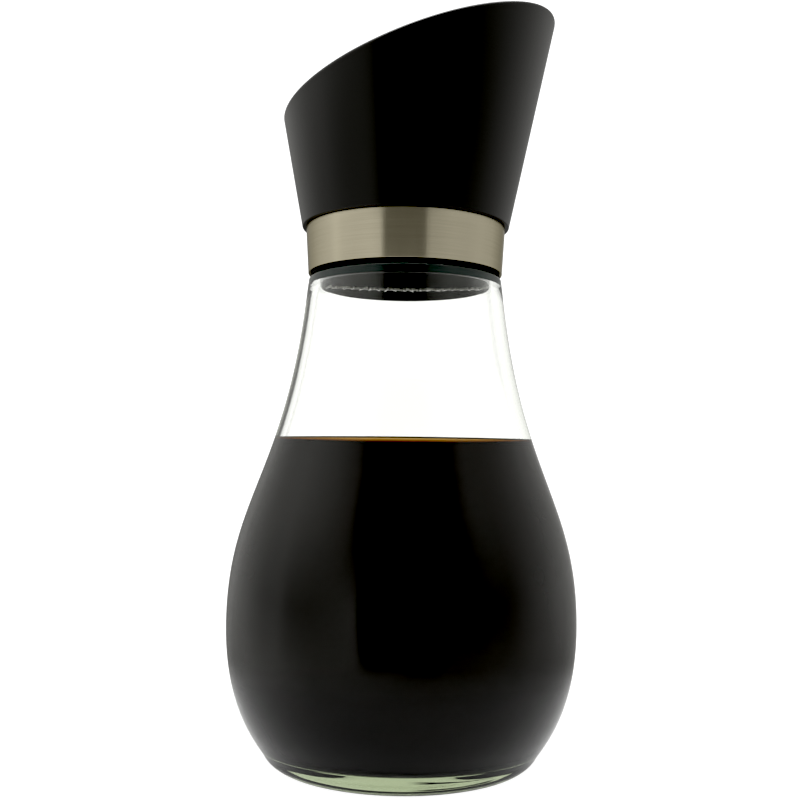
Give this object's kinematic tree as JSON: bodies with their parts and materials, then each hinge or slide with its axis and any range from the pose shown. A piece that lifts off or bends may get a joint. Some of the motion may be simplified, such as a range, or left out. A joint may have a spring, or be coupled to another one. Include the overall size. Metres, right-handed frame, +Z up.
{
  "type": "balsamic vinegar bottle",
  "caption": "Pear-shaped clear glass bottle of dark balsamic vinegar, with a brushed steel collar and a flared black pouring cap cut at a slant.",
  "frame": {"origin": "middle of the flat foot that the bottle stands on", "axes": "+Z up along the axis of the turned glass, +X towards the cap's high pouring lip"},
  "size_m": [0.0776, 0.0776, 0.167],
  "materials": {
    "clear_glass": "polished",
    "dark_vinegar": "gloss",
    "black_rubber": "matte",
    "brushed_steel": "satin",
    "stopper_black": "satin",
    "cap_black": "satin"
  },
  "bodies": {
    "root": {"bottle_glass": "clear_glass", "vinegar": "dark_vinegar", "sealing_ring": "black_rubber", "steel_collar": "brushed_steel", "stopper": "stopper_black", "pourer_cap": "cap_black"}
  },
  "joints": []
}
